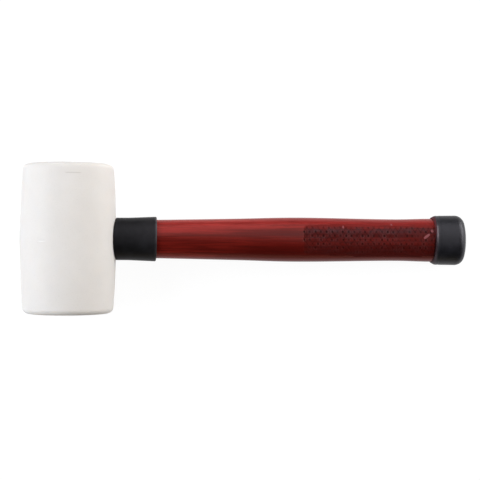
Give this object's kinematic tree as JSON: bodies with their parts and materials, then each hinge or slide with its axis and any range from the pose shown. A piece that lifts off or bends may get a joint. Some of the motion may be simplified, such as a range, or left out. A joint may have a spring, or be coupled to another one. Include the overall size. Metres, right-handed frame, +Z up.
{
  "type": "rubber mallet",
  "caption": "Rubber mallet lying on its side: white barrel-shaped rubber head, oval red hickory handle with a pressed grip, black rubber collar and black end cap.",
  "frame": {"origin": "on the surface that the mallet lies on, under the middle of its bounding box", "axes": "+X along the handle from the head towards the end cap, +Y along the head from one striking face to the other, +Z up"},
  "size_m": [0.3488, 0.115, 0.073],
  "materials": {
    "white_rubber": "matte",
    "red_hickory": "satin",
    "black_rubber": "satin",
    "nail_steel": "satin"
  },
  "bodies": {
    "root": {"head": "white_rubber", "handle": "red_hickory", "collar": "black_rubber", "end_cap": "black_rubber", "retaining_nail": "nail_steel"}
  },
  "joints": []
}
